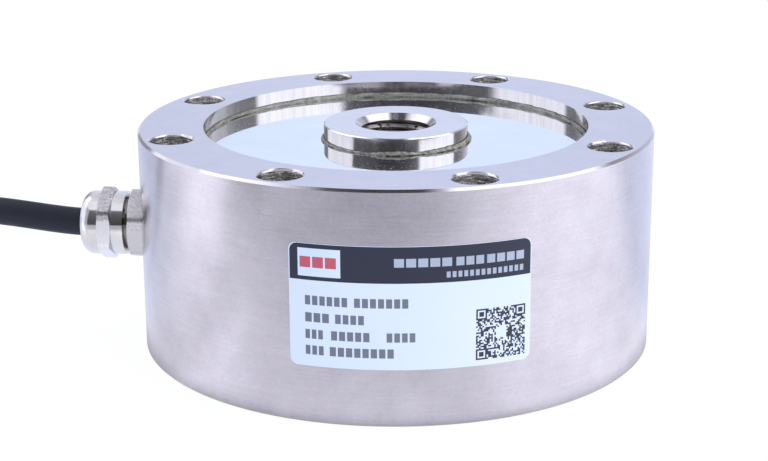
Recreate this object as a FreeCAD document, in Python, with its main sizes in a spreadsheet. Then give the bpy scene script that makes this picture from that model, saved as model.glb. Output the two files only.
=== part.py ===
import FreeCAD, Part
import math
import os
import types

import Sketcher

# A spoke type load cell, in millimetres. Z is the load axis, the base face is at Z 0 and the
# cable gland points along minus X. The rim is bolted down, and the load acts on the hub.

DIMENSIONS = {
    # one-piece body
    "rim_diameter": 107.0,
    "body_height": 46.2,
    "edge_break": 0.5,
    "recess_diameter": 80.0,
    "ledge_width": 2.0,
    "hub_diameter": 30.0,
    "hub_relief": 1.0,
    "hub_edge_break": 0.2,
    "thread_core_diameter": 14.5,
    "thread_mouth_diameter": 17.0,
    "spoke_count": 4,
    "spoke_width": 12.0,
    "spoke_height": 22.0,
    "first_spoke_angle": 45.0,
    "pocket_corner_radius": 2.0,
    "bolt_circle_diameter": 95.0,
    "bolt_count": 8,
    "bolt_hole_diameter": 8.5,
    "bolt_mouth_diameter": 9.3,
    "first_bolt_angle": 22.5,
    # sealing discs and their welds
    "disc_depth": 3.4,
    "disc_thickness": 0.8,
    "disc_gap": 0.05,
    "weld_leg": 0.85,
    # bonded gauges, resistors and wiring
    "gauge_length": 8.0,
    "gauge_height": 6.0,
    "gauge_thickness": 0.1,
    "gauge_reach": 26.24,
    "resistor_length": 3.4,
    "resistor_height": 4.0,
    "resistor_reach": 33.2,
    "lead_diameter": 0.6,
    "harness_diameter": 1.2,
    "strip_thickness": 0.4,
    "strip_height": 10.0,
    "strip_angle": 30.0,
    # cable gland, measured along its own axis from the load axis
    "port_diameter": 11.2,
    "port_floor": 45.0,
    "spot_depth": 1.0,
    "spot_diameter": 17.4,
    "lead_hole_diameter": 7.0,
    "washer_thickness": 0.4,
    "washer_diameter": 13.4,
    "gland_inner_end": 46.0,
    "gland_bore_diameter": 6.4,
    "gland_socket_diameter": 9.8,
    "gland_socket_floor": 55.9,
    "gland_neck_end": 63.4,
    "hex_across_flats": 14.0,
    "hex_face_diameter": 13.8,
    "hex_bevel": 0.45,
    "hex_edge_radius": 1.6,
    "flange_thickness": 3.8,
    "flange_turn": -10.0,
    "nut_start": 57.7,
    "nut_end": 67.2,
    "nut_diameter": 13.6,
    "nut_hex_start": 60.2,
    "nut_hex_end": 63.2,
    "nut_dome_radius": 2.4,
    "nut_turn": 2.0,
    "claw_thickness": 0.85,
    "claw_clearance": 0.05,
    "claw_end": 64.3,
    "claw_slot_start": 59.4,
    "claw_slot_width": 0.8,
    "claw_slot_count": 6,
    "seal_end": 64.1,
    # cable
    "cable_diameter": 6.0,
    "cable_inner_end": 44.5,
    "core_diameter": 1.3,
    "core_spacing": 1.9,
    "tip_diameter": 0.8,
    "tip_length": 6.0,
    # put-away coil
    "coil_x": -167.3,
    "coil_y": -16.2,
    "coil_turn_radius": 45.5,
    "coil_width": 24.6,
    "coil_height": 24.0,
    "coil_entry_angle": 75.0,
    "coil_notch_angle": 36.0,
    "coil_notch_height": 11.0,
    "coil_notch_width": 8.0,
    "tie_angle": 180.0,
    "tie_width": 4.0,
    "tie_thickness": 0.8,
    "tie_clearance": 0.1,
    "tie_corner_radius": 1.0,
    "tie_head_length": 6.4,
    "tie_head_width": 6.0,
    "tie_head_height": 3.4,
    "tie_tail_length": 3.0,
    "tie_tail_lift": 1.0,
    "end_start_angle": 285.0,
    "end_stop_angle": 330.0,
    "end_inset": 0.9,
    # label on the front of the rim
    "label_width": 46.4,
    "label_height": 24.0,
    "label_thickness": 0.12,
    "label_corner_radius": 1.5,
    "label_middle_height": 23.6,
    "label_middle_angle": -82.3,
}

# The cable's free stretch, from the gland's nose down to the floor and into the coil.
CABLE_ROUTE = [
    (-67.20, 0.00, 23.1),
    (-70.20, 0.00, 23.1),
    (-88.00, 2.60, 24.7),
    (-103.80, 8.60, 23.4),
    (-116.40, 13.60, 17.6),
    (-128.80, 18.70, 10.1),
    (-141.52, 24.00, 3.0),
    (-155.52, 27.75, 3.0),
]
# An arc of the route takes this share of the shorter run beside its corner.
ARC_SHARE = 0.45

CORE_NAMES = ("red", "green", "white", "black")
# Where each stripped core comes to lie beside the cable's line, and its way there: the angle
# round the coil past the jacket's end, and how much of the way down and aside is done.
CORE_SIDES = {"red": 3.6, "green": -3.6, "white": -1.2, "black": 1.2}
CORE_WAY = ((20.0, 0.45), (31.0, 1.0), (43.0, 1.0))
CORE_START = 7.0

Y_AXIS = FreeCAD.Vector(0, 1, 0)
Z_AXIS = FreeCAD.Vector(0, 0, 1)
ORIGIN = FreeCAD.Vector(0, 0, 0)

doc = FreeCAD.newDocument("spoke_load_cell")
sheet = doc.addObject("Spreadsheet::Sheet", "Dimensions")
sub_parts = []


class Size:
    """A length, angle or count, with the text that binds it to the sheet."""

    def __init__(self, text, value):
        self.text = text
        self.value = value

    def __add__(self, other):
        other = as_size(other)
        return Size(f"({self.text} + {other.text})", self.value + other.value)

    def __sub__(self, other):
        other = as_size(other)
        return Size(f"({self.text} - {other.text})", self.value - other.value)

    def __mul__(self, factor):
        return Size(f"({factor} * {self.text})", self.value * factor)

    def __truediv__(self, divisor):
        return Size(f"({self.text} / {divisor})", self.value / divisor)

    def __neg__(self):
        return self * -1


def as_size(number):
    return number if isinstance(number, Size) else Size(str(float(number)), float(number))


def fill_sheet():
    """Write each driving dimension to a named cell, and give it back as a Size."""
    sizes = {}
    for row, (name, value) in enumerate(DIMENSIONS.items(), start=1):
        sheet.set(f"A{row}", name)
        sheet.set(f"B{row}", str(value))
        sheet.setAlias(f"B{row}", name)
        sizes[name] = Size(f"{sheet.Name}.{name}", float(value))
    doc.recompute()
    return types.SimpleNamespace(**sizes)


dims = fill_sheet()

rim_radius = dims.rim_diameter / 2
recess_radius = dims.recess_diameter / 2
pocket_radius = recess_radius - dims.ledge_width
hub_radius = dims.hub_diameter / 2
shoulder_radius = hub_radius + dims.ledge_width
thread_radius = dims.thread_core_diameter / 2
mouth_radius = dims.thread_mouth_diameter / 2
middle_height = dims.body_height / 2
spoke_low = middle_height - dims.spoke_height / 2
spoke_high = middle_height + dims.spoke_height / 2
low_seat = dims.disc_depth + dims.disc_thickness
high_seat = dims.body_height - low_seat
high_disc_face = dims.body_height - dims.disc_depth
spot_face = rim_radius - dims.spot_depth
flange_start = spot_face + dims.washer_thickness
cable_radius = dims.cable_diameter / 2
coil_outer_radius = dims.coil_turn_radius + cable_radius
coil_inner_radius = coil_outer_radius - dims.coil_width


def bind(feature, **sizes):
    for name, size in sizes.items():
        feature.setExpression(name, as_size(size).text)


def keep(label, feature):
    """Name a finished sub-part and put it on the list of files."""
    feature.Label = label
    sub_parts.append(feature)
    return feature


def origin_feature(body, role):
    return next(item for item in body.Origin.OriginFeatures if item.Role == role)


def new_sketch(body, name, plane, turn=None, lift=None):
    """A sketch on one of the body's origin planes, turned about and lifted along Z."""
    sketch = body.newObject("Sketcher::SketchObject", name)
    sketch.AttachmentSupport = [(origin_feature(body, plane), "")]
    sketch.MapMode = "FlatFace"
    if turn is not None:
        spin = Z_AXIS if plane == "XY_Plane" else Y_AXIS
        sketch.AttachmentOffset = FreeCAD.Placement(ORIGIN, FreeCAD.Rotation(spin, turn.value))
    if lift is not None:
        sketch.setExpression("AttachmentOffset.Base.z", lift.text)
    return sketch


def hold(sketch, kind, *places, size):
    """Add a dimension to a sketch, bound to the sheet."""
    size = as_size(size)
    number = sketch.addConstraint(Sketcher.Constraint(kind, *places, size.value))
    sketch.setExpression(f"Constraints[{number}]", size.text)


def hold_point(sketch, edge, end, across, up):
    hold(sketch, "DistanceX", -1, 1, edge, end, size=across)
    hold(sketch, "DistanceY", -1, 1, edge, end, size=up)


def bulged(start, end, radius):
    """The arc from start to end that bulges to the right of the way between them."""
    chord = end - start
    right = FreeCAD.Vector(chord.y, -chord.x, 0).normalize()
    rise = radius - math.sqrt(radius**2 - chord.Length**2 / 4)
    return Part.Arc(start, (start + end) / 2 + right * rise, end)


def draw(sketch, corners):
    """Close a loop counter-clockwise. A corner's third entry is the radius of the arc that leaves it."""
    first = sketch.GeometryCount
    count = len(corners)
    places = [FreeCAD.Vector(as_size(c[0]).value, as_size(c[1]).value, 0) for c in corners]
    for index, corner in enumerate(corners):
        start = places[index]
        end = places[(index + 1) % count]
        round_edge = len(corner) == 3
        edge = bulged(start, end, corner[2].value) if round_edge else Part.LineSegment(start, end)
        sketch.addGeometry(edge, False)
    for index, corner in enumerate(corners):
        following = first + (index + 1) % count
        sketch.addConstraint(Sketcher.Constraint("Coincident", first + index, 2, following, 1))
        hold_point(sketch, first + index, 1, corner[0], corner[1])
        if len(corner) == 3:
            hold(sketch, "Radius", first + index, size=corner[2])


def draw_axis(sketch, start, end):
    """A construction line, which a groove can turn about."""
    places = [FreeCAD.Vector(as_size(x).value, as_size(y).value, 0) for x, y in (start, end)]
    edge = sketch.addGeometry(Part.LineSegment(*places), True)
    hold_point(sketch, edge, 1, *start)
    hold_point(sketch, edge, 2, *end)


def turned(name, corners, angle=None):
    """A body turned about Z from its half section, whole or a sector centred on X."""
    body = doc.addObject("PartDesign::Body", name)
    section = new_sketch(body, f"{name}_section", "XZ_Plane")
    draw(section, corners)
    turn = body.newObject("PartDesign::Revolution", f"{name}_turn")
    turn.Profile = section
    turn.ReferenceAxis = (section, ["V_Axis"])
    if angle is not None:
        turn.Midplane = True
        bind(turn, Angle=angle)
    doc.recompute()
    return body


def must_cut(feature):
    """Stop if a cutting feature took nothing away."""
    doc.recompute()
    if feature.Shape.Volume >= feature.BaseFeature.Shape.Volume:
        raise RuntimeError(f"{feature.Name} cuts nothing")


def groove(body, name, sketch, axis, angle=None, reverse=False):
    cut = body.newObject("PartDesign::Groove", name)
    cut.Profile = sketch
    cut.ReferenceAxis = (sketch, [axis])
    cut.Reversed = reverse
    if angle is not None:
        bind(cut, Angle=angle)
    must_cut(cut)
    return cut


def pocket(body, name, sketch, depth):
    cut = body.newObject("PartDesign::Pocket", name)
    cut.Profile = sketch
    bind(cut, Length=depth)
    must_cut(cut)
    return cut


def pad_both_ways(body, name, sketch, length):
    pad = body.newObject("PartDesign::Pad", name)
    pad.Profile = sketch
    pad.SideType = "Symmetric"
    bind(pad, Length=length)
    doc.recompute()


def around_z(body, name, feature, count):
    pattern = body.newObject("PartDesign::PolarPattern", name)
    pattern.Originals = [feature]
    pattern.Axis = (origin_feature(body, "Z_Axis"), [""])
    bind(pattern, Occurrences=count)
    body.Tip = pattern
    doc.recompute()
    return pattern


def round_edges(body, name, radius, wanted):
    """Fillet the body's edges that a test picks out."""
    base = body.Tip
    names = [f"Edge{n}" for n, edge in enumerate(base.Shape.Edges, start=1) if wanted(edge)]
    fillet = body.newObject("PartDesign::Fillet", name)
    fillet.Base = (base, names)
    bind(fillet, Radius=radius)
    body.Tip = fillet
    doc.recompute()


def is_straight(edge, length):
    """True for a straight edge of that length."""
    straight = isinstance(edge.Curve, (Part.Line, Part.LineSegment))
    return straight and math.isclose(edge.Length, length.value, rel_tol=1e-4)


# One-piece body: rim, hub and spokes

def draw_quarter_gap(sketch, half_spoke, inner, outer):
    """The gap between two spokes that lie along X and Y, bounded by the hub and the rim."""
    near = math.sqrt(inner.value**2 - half_spoke.value**2)
    far = math.sqrt(outer.value**2 - half_spoke.value**2)
    side = half_spoke.value
    inner_arc = (math.atan2(side, near), math.atan2(near, side))
    outer_arc = (math.atan2(side, far), math.atan2(far, side))
    sketch.addGeometry(
        [
            Part.LineSegment(FreeCAD.Vector(near, side, 0), FreeCAD.Vector(far, side, 0)),
            Part.ArcOfCircle(Part.Circle(ORIGIN, Z_AXIS, outer.value), *outer_arc),
            Part.LineSegment(FreeCAD.Vector(side, far, 0), FreeCAD.Vector(side, near, 0)),
            Part.ArcOfCircle(Part.Circle(ORIGIN, Z_AXIS, inner.value), *inner_arc),
        ],
        False,
    )
    for joined in ((0, 2, 1, 1), (1, 2, 2, 1), (2, 2, 3, 2), (3, 1, 0, 1), (1, 3, -1, 1), (3, 3, -1, 1)):
        sketch.addConstraint(Sketcher.Constraint("Coincident", *joined))
    sketch.addConstraint(Sketcher.Constraint("Horizontal", 0))
    sketch.addConstraint(Sketcher.Constraint("Vertical", 2))
    hold(sketch, "Radius", 1, size=outer)
    hold(sketch, "Radius", 3, size=inner)
    hold(sketch, "DistanceY", -1, 1, 0, 1, size=half_spoke)
    hold(sketch, "DistanceX", -1, 1, 2, 1, size=half_spoke)


def make_spoke_body():
    height = dims.body_height
    broken = dims.edge_break
    hub_broken = dims.hub_edge_break
    mouth_depth = mouth_radius - thread_radius
    body = turned(
        "spoke_body",
        [
            (mouth_radius, dims.hub_relief),
            (hub_radius - hub_broken, dims.hub_relief),
            (hub_radius, dims.hub_relief + hub_broken),
            (hub_radius, low_seat),
            (shoulder_radius, low_seat),
            (shoulder_radius, spoke_low),
            (pocket_radius, spoke_low),
            (pocket_radius, low_seat),
            (recess_radius, low_seat),
            (recess_radius, 0),
            (rim_radius - broken, 0),
            (rim_radius, broken),
            (rim_radius, height - broken),
            (rim_radius - broken, height),
            (recess_radius, height),
            (recess_radius, high_seat),
            (pocket_radius, high_seat),
            (pocket_radius, spoke_high),
            (shoulder_radius, spoke_high),
            (shoulder_radius, high_seat),
            (hub_radius, high_seat),
            (hub_radius, height - hub_broken),
            (hub_radius - hub_broken, height),
            (mouth_radius, height),
            (thread_radius, height - mouth_depth),
            (thread_radius, dims.hub_relief + mouth_depth),
        ],
    )
    cut_spokes(body)
    cut_bolt_holes(body)
    cut_gland_port(body)
    return keep("spoke_body", body)


def cut_spokes(body):
    gap = new_sketch(body, "spoke_gap_outline", "XY_Plane", turn=dims.first_spoke_angle, lift=spoke_high)
    draw_quarter_gap(gap, dims.spoke_width / 2, shoulder_radius, pocket_radius)
    around_z(body, "spoke_gaps", pocket(body, "spoke_gap", gap, dims.spoke_height), dims.spoke_count)
    round_edges(
        body, "spoke_roots", dims.pocket_corner_radius, lambda edge: is_straight(edge, dims.spoke_height)
    )


def cut_bolt_holes(body):
    """Through holes with both mouths broken, turned about an axis on the bolt circle."""
    centre = dims.bolt_circle_diameter / 2
    wall = centre + dims.bolt_hole_diameter / 2
    mouth = centre + dims.bolt_mouth_diameter / 2
    depth = mouth - wall
    height = dims.body_height
    section = new_sketch(body, "bolt_hole_section", "XZ_Plane", turn=dims.first_bolt_angle)
    draw(
        section,
        [(centre, 0), (mouth, 0), (wall, depth), (wall, height - depth), (mouth, height), (centre, height)],
    )
    draw_axis(section, (centre, 0), (centre, height))
    around_z(body, "bolt_holes", groove(body, "bolt_hole", section, "Axis0"), dims.bolt_count)


def cut_gland_port(body):
    """A spot face, a tapped hole and a lead hole, in line with the gland."""
    axis = middle_height
    spot = axis + dims.spot_diameter / 2
    port = axis + dims.port_diameter / 2
    lead = axis + dims.lead_hole_diameter / 2
    clear = rim_radius + dims.edge_break
    inside = pocket_radius - dims.ledge_width
    section = new_sketch(body, "gland_port_section", "XZ_Plane")
    draw(
        section,
        [
            (-inside, axis),
            (-inside, lead),
            (-dims.port_floor, lead),
            (-dims.port_floor, port),
            (-spot_face, port),
            (-spot_face, spot),
            (-clear, spot),
            (-clear, axis),
        ],
    )
    draw_axis(section, (-inside, axis), (-clear, axis))
    groove(body, "gland_port", section, "Axis0")


# Sealing discs and weld beads

def make_discs():
    inner = hub_radius + dims.disc_gap
    outer = recess_radius - dims.disc_gap
    for name, low, high in (
        ("top_diaphragm", high_seat, high_disc_face),
        ("bottom_diaphragm", dims.disc_depth, low_seat),
    ):
        keep(name, turned(name, [(inner, low), (outer, low), (outer, high), (inner, high)]))


def make_welds():
    """Quarter-round beads in the corners that the discs make with the hub and the rim."""
    leg = dims.weld_leg
    top = high_disc_face
    bottom = dims.disc_depth
    sections = {
        "top_hub_weld": [(hub_radius, top), (hub_radius + leg, top, leg), (hub_radius, top + leg)],
        "top_rim_weld": [(recess_radius - leg, top), (recess_radius, top), (recess_radius, top + leg, leg)],
        "bottom_hub_weld": [
            (hub_radius, bottom - leg, leg),
            (hub_radius + leg, bottom),
            (hub_radius, bottom),
        ],
        "bottom_rim_weld": [
            (recess_radius - leg, bottom, leg),
            (recess_radius, bottom - leg),
            (recess_radius, bottom),
        ],
    }
    for name, corners in sections.items():
        keep(name, turned(name, corners))


# Gauges, resistors and wiring inside the seal

def spoke_frame(number):
    """The frame of a spoke, with X along it."""
    angle = dims.first_spoke_angle.value + 360.0 / dims.spoke_count.value * number
    return FreeCAD.Placement(ORIGIN, FreeCAD.Rotation(Z_AXIS, angle))


def bonded_patch(name, spoke, side, reach, length, height):
    """A thin foil patch on one side of a spoke: side 1 is its left side, seen from the hub."""
    patch = doc.addObject("Part::Box", name)
    bind(patch, Length=length, Width=dims.gauge_thickness, Height=height)
    face = dims.spoke_width.value / 2
    left_edge = face if side > 0 else -face - dims.gauge_thickness.value
    corner = FreeCAD.Vector(
        reach.value - length.value / 2, left_edge, middle_height.value - height.value / 2
    )
    patch.Placement = spoke_frame(spoke).multiply(FreeCAD.Placement(corner, FreeCAD.Rotation()))
    return keep(name, patch)


def make_gauges():
    number = 0
    for spoke in range(int(dims.spoke_count.value)):
        for side in (1, -1):
            number += 1
            bonded_patch(
                f"strain_gauge_{number}",
                spoke,
                side,
                dims.gauge_reach,
                dims.gauge_length,
                dims.gauge_height,
            )
    for name, spoke, side in (("span_resistor", 1, 1), ("zero_resistor", 2, -1)):
        bonded_patch(
            name, spoke, side, dims.resistor_reach, dims.resistor_length, dims.resistor_height
        )


def make_terminal_strip():
    outer = shoulder_radius + dims.strip_thickness
    low = middle_height - dims.strip_height / 2
    high = middle_height + dims.strip_height / 2
    strip = turned(
        "terminal_strip",
        [(shoulder_radius, low), (outer, low), (outer, high), (shoulder_radius, high)],
        angle=dims.strip_angle,
    )
    strip.Placement = FreeCAD.Placement(ORIGIN, FreeCAD.Rotation(Z_AXIS, 180))
    keep("terminal_strip", strip)


def make_wiring():
    """A loop of wire on the spokes, and a lead from it down to each gauge."""
    lead_offset = dims.spoke_width / 2 + dims.lead_diameter / 2
    leads = []
    for spoke in range(int(dims.spoke_count.value)):
        for side in (1, -1):
            lead = doc.addObject("Part::Cylinder", f"gauge_lead_{len(leads) + 1}")
            low = middle_height + dims.gauge_height / 2
            bind(lead, Radius=dims.lead_diameter / 2, Height=spoke_high - low)
            foot = FreeCAD.Vector(dims.gauge_reach.value, side * lead_offset.value, low.value)
            lead.Placement = spoke_frame(spoke).multiply(FreeCAD.Placement(foot, FreeCAD.Rotation()))
            leads.append(lead)
    group = doc.addObject("Part::Compound", "gauge_leads")
    group.Links = leads
    keep("gauge_leads", group)
    loop = doc.addObject("Part::Torus", "bridge_harness")
    loop_radius = math.hypot(dims.gauge_reach.value, lead_offset.value)
    loop.Radius1 = loop_radius
    bind(loop, Radius2=dims.harness_diameter / 2)
    loop.setExpression("Placement.Base.z", (spoke_high + dims.harness_diameter / 2).text)
    keep("bridge_harness", loop)


# Cable gland, whose pieces are turned about Z and then laid along minus X

def lay_on_gland_axis(feature):
    feature.Placement = FreeCAD.Placement(ORIGIN, FreeCAD.Rotation(Y_AXIS, -90))
    feature.setExpression("Placement.Base.z", middle_height.text)
    return feature


def milled_hexagon(name, blank, turn):
    """Mill the widest band of a turned blank to a hexagon with rounded edges."""
    hexagon = doc.addObject("PartDesign::Body", f"{name}_hexagon")
    outline = new_sketch(hexagon, f"{name}_hexagon_outline", "XY_Plane")
    corner = dims.hex_across_flats / math.sqrt(3)
    angles = [math.radians(turn.value + 60.0 * number) for number in range(6)]
    draw(outline, [(corner * math.cos(angle), corner * math.sin(angle)) for angle in angles])
    length = dims.nut_end * 2
    pad_both_ways(hexagon, f"{name}_hexagon_bar", outline, length)
    round_edges(
        hexagon, f"{name}_hexagon_edges", dims.hex_edge_radius, lambda edge: is_straight(edge, length)
    )
    milled = doc.addObject("Part::Common", name)
    milled.Base = blank
    milled.Tool = hexagon
    return milled


def hexagon_band(start, end):
    """Half section of a hexagon band before milling, with both faces bevelled."""
    face = dims.hex_face_diameter / 2
    corner = dims.hex_across_flats / math.sqrt(3)
    return [
        (face, start),
        (corner, start + dims.hex_bevel),
        (corner, end - dims.hex_bevel),
        (face, end),
    ]


def make_gland_body():
    thread = dims.port_diameter / 2
    bore = dims.gland_bore_diameter / 2
    socket = dims.gland_socket_diameter / 2
    blank = turned(
        "gland_body_blank",
        [
            (bore, dims.gland_inner_end),
            (thread, dims.gland_inner_end),
            (thread, flange_start),
            *hexagon_band(flange_start, flange_start + dims.flange_thickness),
            (thread, flange_start + dims.flange_thickness),
            (thread, dims.gland_neck_end),
            (socket, dims.gland_neck_end),
            (socket, dims.gland_socket_floor),
            (bore, dims.gland_socket_floor),
        ],
    )
    milled = milled_hexagon("gland_body", blank, dims.flange_turn)
    keep("gland_body", lay_on_gland_axis(milled))


def make_gland_nut():
    thread = dims.port_diameter / 2
    outer = dims.nut_diameter / 2
    bore = dims.gland_bore_diameter / 2
    socket = dims.gland_socket_diameter / 2
    dome = dims.nut_dome_radius
    cone_start = dims.claw_end + dims.claw_clearance
    blank = turned(
        "gland_nut_blank",
        [
            (thread, dims.nut_start),
            (outer, dims.nut_start),
            (outer, dims.nut_hex_start),
            *hexagon_band(dims.nut_hex_start, dims.nut_hex_end),
            (outer, dims.nut_hex_end),
            (outer, dims.nut_end - dome, dome),
            (outer - dome, dims.nut_end),
            (bore, dims.nut_end),
            (bore, cone_start + socket - bore),
            (socket, cone_start),
            (socket, dims.gland_neck_end),
            (thread, dims.gland_neck_end),
        ],
    )
    milled = milled_hexagon("gland_nut", blank, dims.nut_turn)
    keep("gland_nut", lay_on_gland_axis(milled))


def make_gland_washer():
    inner = dims.port_diameter / 2
    outer = dims.washer_diameter / 2
    washer = turned(
        "gland_washer",
        [(inner, spot_face), (outer, spot_face), (outer, flange_start), (inner, flange_start)],
    )
    keep("gland_washer", lay_on_gland_axis(washer))


def make_gland_claw():
    """A plastic basket whose fingers close on the rubber sleeve."""
    outer = dims.gland_socket_diameter / 2 - dims.claw_clearance
    inner = outer - dims.claw_thickness
    floor = dims.gland_socket_floor
    half_slot = dims.claw_slot_width / 2
    claw = turned(
        "gland_claw",
        [(inner, floor), (outer, floor), (outer, dims.claw_end), (inner, dims.claw_end)],
    )
    slot = new_sketch(claw, "claw_slot_outline", "XY_Plane", lift=dims.claw_end)
    reach = dims.gland_socket_diameter / 2
    draw(slot, [(0, -half_slot), (reach, -half_slot), (reach, half_slot), (0, half_slot)])
    cut = pocket(claw, "claw_slot", slot, dims.claw_end - dims.claw_slot_start)
    around_z(claw, "claw_slots", cut, dims.claw_slot_count)
    keep("gland_claw", lay_on_gland_axis(claw))


def make_gland_seal():
    outer = dims.gland_socket_diameter / 2 - dims.claw_clearance - dims.claw_thickness
    floor = dims.gland_socket_floor
    seal = turned(
        "gland_seal",
        [(cable_radius, floor), (outer, floor), (outer, dims.seal_end), (cable_radius, dims.seal_end)],
    )
    keep("gland_seal", lay_on_gland_axis(seal))


# Cable: inside the gland, its free stretch, and the coil

def core_place(number):
    """The offset of one of the four cores from the cable's middle."""
    quarter_turns = 0.5 + number
    reach = dims.core_spacing.value / math.sqrt(2)
    return reach * math.cos(quarter_turns * math.pi / 2), reach * math.sin(quarter_turns * math.pi / 2)


def rod_on_gland_axis(name, radius, start, end, across=0.0, up=0.0):
    rod = doc.addObject("Part::Cylinder", name)
    bind(rod, Radius=radius, Height=end - start)
    turn = FreeCAD.Rotation(Y_AXIS, -90)
    foot = FreeCAD.Vector(-start.value, across, middle_height.value + up)
    rod.Placement = FreeCAD.Placement(foot, turn)
    return keep(name, rod)


def make_cable_entry():
    """The jacketed cable through the gland, and its cores on to the terminal strip."""
    rod_on_gland_axis("cable_entry", cable_radius, dims.cable_inner_end, dims.nut_end)
    strip_face = shoulder_radius + dims.strip_thickness
    for number, name in enumerate(CORE_NAMES):
        across, up = core_place(number)
        rod_on_gland_axis(
            f"inner_core_{name}", dims.core_diameter / 2, strip_face, dims.cable_inner_end, across, up
        )


def rounded_route(points):
    """Straight runs joined by tangent arcs, each as large as its two runs allow."""
    corners = [FreeCAD.Vector(*point) for point in points]
    edges = []
    radii = []
    start = corners[0]
    for before, corner, after in zip(corners, corners[1:], corners[2:]):
        arriving = corner - before
        leaving = after - corner
        back = ARC_SHARE * min(arriving.Length, leaving.Length)
        half_turn = arriving.getAngle(leaving) / 2
        radius = back / math.tan(half_turn)
        arriving.normalize()
        leaving.normalize()
        first = corner - arriving * back
        last = corner + leaving * back
        inward = (leaving - arriving).normalize()
        middle = corner + inward * (radius / math.cos(half_turn) - radius)
        edges.append(Part.LineSegment(start, first).toShape())
        edges.append(Part.Arc(first, middle, last).toShape())
        radii.append(radius)
        start = last
    edges.append(Part.LineSegment(start, corners[-1]).toShape())
    return Part.Wire(edges), radii


def tube_along(wire, radius):
    """A solid round tube along a wire, tested against its section times its length."""
    edge = wire.OrderedEdges[0]
    start = edge.valueAt(edge.FirstParameter)
    way = edge.tangentAt(edge.FirstParameter)
    ring = Part.Wire(Part.makeCircle(radius, start, way))
    solid = wire.makePipeShell([ring], True, True)
    expected = math.pi * radius**2 * wire.Length
    if not math.isclose(solid.Volume, expected, rel_tol=0.01):
        raise RuntimeError(f"tube volume {solid.Volume:.1f}, expected {expected:.1f}")
    return solid


def keep_shape(name, shape):
    feature = doc.addObject("Part::Feature", name)
    feature.Shape = shape
    return keep(name, feature)


def make_free_cable():
    wire, radii = rounded_route(CABLE_ROUTE)
    print("cable radii", [round(radius) for radius in radii], "length", round(wire.Length, 1))
    keep_shape("cable", tube_along(wire, cable_radius.value))


def on_coil(angle, radius, height):
    """A point at an angle round the coil's middle."""
    turn = math.radians(angle)
    return FreeCAD.Vector(
        dims.coil_x.value + radius * math.cos(turn), dims.coil_y.value + radius * math.sin(turn), height
    )


def lay_on_coil(feature, turn=0.0):
    feature.Placement = FreeCAD.Placement(ORIGIN, FreeCAD.Rotation(Z_AXIS, turn))
    bind(feature, **{"Placement.Base.x": dims.coil_x, "Placement.Base.y": dims.coil_y})
    return feature


def rounded_box(left, right, low, high, radius):
    """Corners of a rectangle with round corners."""
    return [
        (left + radius, low),
        (right - radius, low, radius),
        (right, low + radius),
        (right, high - radius, radius),
        (right - radius, high),
        (left + radius, high, radius),
        (left, high - radius),
        (left, low + radius, radius),
    ]


def make_coil_tie():
    """A strap round the turns, with its head and cut tail on top."""
    thick = dims.tie_thickness
    corner = dims.tie_corner_radius
    left = coil_inner_radius - dims.tie_clearance
    right = coil_outer_radius + dims.tie_clearance
    top = dims.coil_height + dims.tie_clearance
    tie = doc.addObject("PartDesign::Body", "coil_tie")
    loop = new_sketch(tie, "tie_loop", "XZ_Plane")
    draw(loop, rounded_box(left - thick, right + thick, as_size(0), top + thick, corner + thick))
    draw(loop, rounded_box(left, right, thick, top, corner))
    pad_both_ways(tie, "tie_band", loop, dims.tie_width)
    middle = (left + right) / 2
    head_end = middle + dims.tie_head_length / 2
    head = new_sketch(tie, "tie_head_outline", "XZ_Plane")
    head_start = middle - dims.tie_head_length / 2
    head_top = top + dims.tie_head_height
    draw(head, [(head_start, top), (head_end, top), (head_end, head_top), (head_start, head_top)])
    pad_both_ways(tie, "tie_head", head, dims.tie_head_width)
    tail = new_sketch(tie, "tie_tail_outline", "XZ_Plane")
    tail_end = head_end + dims.tie_tail_length
    tail_low = top + thick + dims.tie_tail_lift
    tail_high = tail_low + thick
    draw(tail, [(middle, tail_low), (tail_end, tail_low), (tail_end, tail_high), (middle, tail_high)])
    pad_both_ways(tie, "tie_tail", tail, dims.tie_width)
    keep("coil_tie", lay_on_coil(tie, dims.tie_angle.value))


def make_coil():
    """The outer shape of the wound turns, with room for the cable that comes in and the tie below."""
    turns = turned(
        "cable_coil",
        rounded_box(
            coil_inner_radius, coil_outer_radius, as_size(0), dims.coil_height, cable_radius
        ),
    )
    way_in = new_sketch(turns, "way_in_section", "XZ_Plane", turn=dims.coil_entry_angle)
    wall = coil_outer_radius - dims.coil_notch_width
    clear = coil_outer_radius + dims.edge_break
    below = -dims.edge_break
    top = dims.coil_notch_height
    draw(way_in, [(wall, below), (clear, below), (clear, top), (wall, top)])
    groove(turns, "way_in", way_in, "V_Axis", angle=dims.coil_notch_angle, reverse=True)
    seat = new_sketch(turns, "tie_seat_outline", "XY_Plane", turn=dims.tie_angle, lift=dims.tie_thickness)
    half_seat = dims.tie_width / 2 + dims.tie_clearance
    inside = coil_inner_radius - dims.edge_break
    draw(seat, [(inside, -half_seat), (clear, -half_seat), (clear, half_seat), (inside, half_seat)])
    pocket(turns, "tie_seat", seat, dims.tie_thickness)
    keep("cable_coil", lay_on_coil(turns))


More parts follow.
